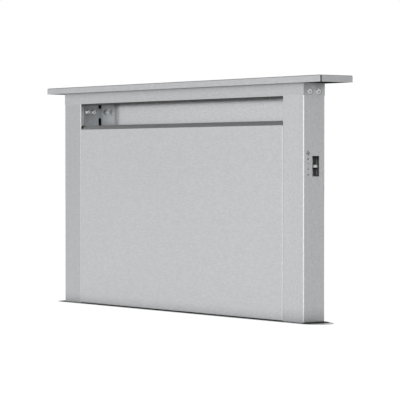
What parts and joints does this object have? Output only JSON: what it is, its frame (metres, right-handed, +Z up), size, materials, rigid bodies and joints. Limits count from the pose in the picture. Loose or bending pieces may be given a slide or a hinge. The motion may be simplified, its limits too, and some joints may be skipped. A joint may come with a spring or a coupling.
{
  "type": "downdraft vent",
  "caption": "Rising downdraft vent: brushed steel tower with an intake slot under a flat cap, a tilting front panel over grease filters, and a rack drive below its counter flange.",
  "frame": {"origin": "centre of the trim flange's four fixing holes, on the counter's surface", "axes": "+X to the right along the front, +Y to the back, +Z up; drawn with the tower raised"},
  "size_m": [0.9144, 0.1415, 0.5572],
  "materials": {
    "brushed_steel": "brushed stainless steel with a satin grain",
    "inner_steel": "stainless sheet, fine grain",
    "black_liner": "matt black coated sheet",
    "black_rubber": "black rubber",
    "zinc_steel": "zinc-plated sheet steel",
    "bright_steel": "turned bright steel",
    "gear_steel": "cut gear steel",
    "filter_aluminium": "plain aluminium",
    "pad_plastic": "black moulded plastic",
    "bush_bronze": "plain bronze",
    "motor_paint": "dark enamel",
    "control_black": "black moulded plastic",
    "control_grey": "light grey moulded plastic",
    "button_metal": "brushed metal button",
    "board_plastic": "circuit board",
    "magnet_dark": "dark magnet"
  },
  "bodies": {
    "base": {"counter_flange": "brushed_steel", "throat": "zinc_steel", "wiper_seal": "black_rubber", "guide_pads": "pad_plastic", "bearing_blocks": "zinc_steel", "shaft_bushes": "bush_bronze", "gearbox": "filter_aluminium", "lift_motor": "motor_paint", "junction_box": "zinc_steel", "junction_lid": "zinc_steel", "cable_gland": "pad_plastic"},
    "drive": {"drive_shaft": "bright_steel", "pinion_left": "gear_steel", "pinion_right": "gear_steel"},
    "tower": {"cap_tray": "brushed_steel", "cap_liner": "black_liner", "cap_stiffeners": "inner_steel", "post_left": "brushed_steel", "post_right": "brushed_steel", "head_band": "brushed_steel", "edge_guard": "black_rubber", "rear_panel": "inner_steel", "lower_skirt": "inner_steel", "bottom_brace": "inner_steel", "duct_side_left": "inner_steel", "duct_side_right": "inner_steel", "cap_bracket_left": "zinc_steel", "cap_bracket_right": "zinc_steel", "side_screws": "bright_steel", "duct_screws": "bright_steel", "cap_screws": "bright_steel", "rack_channel_left": "zinc_steel", "rack_channel_right": "zinc_steel", "lift_rack_left": "gear_steel", "lift_rack_right": "gear_steel", "grease_gutter": "inner_steel", "filter_top_rail": "inner_steel", "filter_divider": "inner_steel", "catch_brackets": "zinc_steel", "catch_magnets": "magnet_dark", "slider_housing": "control_black", "slider_board": "board_plastic", "button_switch": "pad_plastic"},
    "front_panel": {"front_panel": "brushed_steel", "panel_pins": "bright_steel"},
    "filter_left": {"filter_frame_left": "filter_aluminium", "filter_mesh_left": "filter_aluminium", "filter_handle_left": "bright_steel"},
    "filter_right": {"filter_frame_right": "filter_aluminium", "filter_mesh_right": "filter_aluminium", "filter_handle_right": "bright_steel"},
    "speed_slider": {"slider_knob": "control_grey"},
    "lift_button": {"lift_button": "button_metal"}
  },
  "joints": [
    {"name": "tower_lift", "type": "slide", "parent": "base", "child": "tower", "axis": [0, 0, 1], "range_m": [-0.441, 0]},
    {"name": "drive_spin", "type": "hinge", "parent": "base", "child": "drive", "pos_m": [0, 0.038, -0.064], "axis": [1, 0, 0], "range_deg": [0, 1404]},
    {"name": "front_panel_tilt", "type": "hinge", "parent": "tower", "child": "front_panel", "pos_m": [0, -0.021, 0.008], "axis": [1, 0, 0], "range_deg": [0, 25]},
    {"name": "filter_left_lift", "type": "slide", "parent": "tower", "child": "filter_left", "axis": [0, 0, 1], "range_m": [0, 0.012]},
    {"name": "filter_right_lift", "type": "slide", "parent": "tower", "child": "filter_right", "axis": [0, 0, 1], "range_m": [0, 0.012]},
    {"name": "speed_slide", "type": "slide", "parent": "tower", "child": "speed_slider", "axis": [0, 0, 1], "range_m": [-0.0145, 0.0145]},
    {"name": "button_press", "type": "slide", "parent": "tower", "child": "lift_button", "axis": [0, 0, 1], "range_m": [-0.0015, 0], "stiffness_N_per_m": 300, "springref_m": 0.001}
  ],
  "couplings": [
    {"joint": "drive_spin", "follows": "tower_lift", "rad_per_m": -55.556}
  ]
}
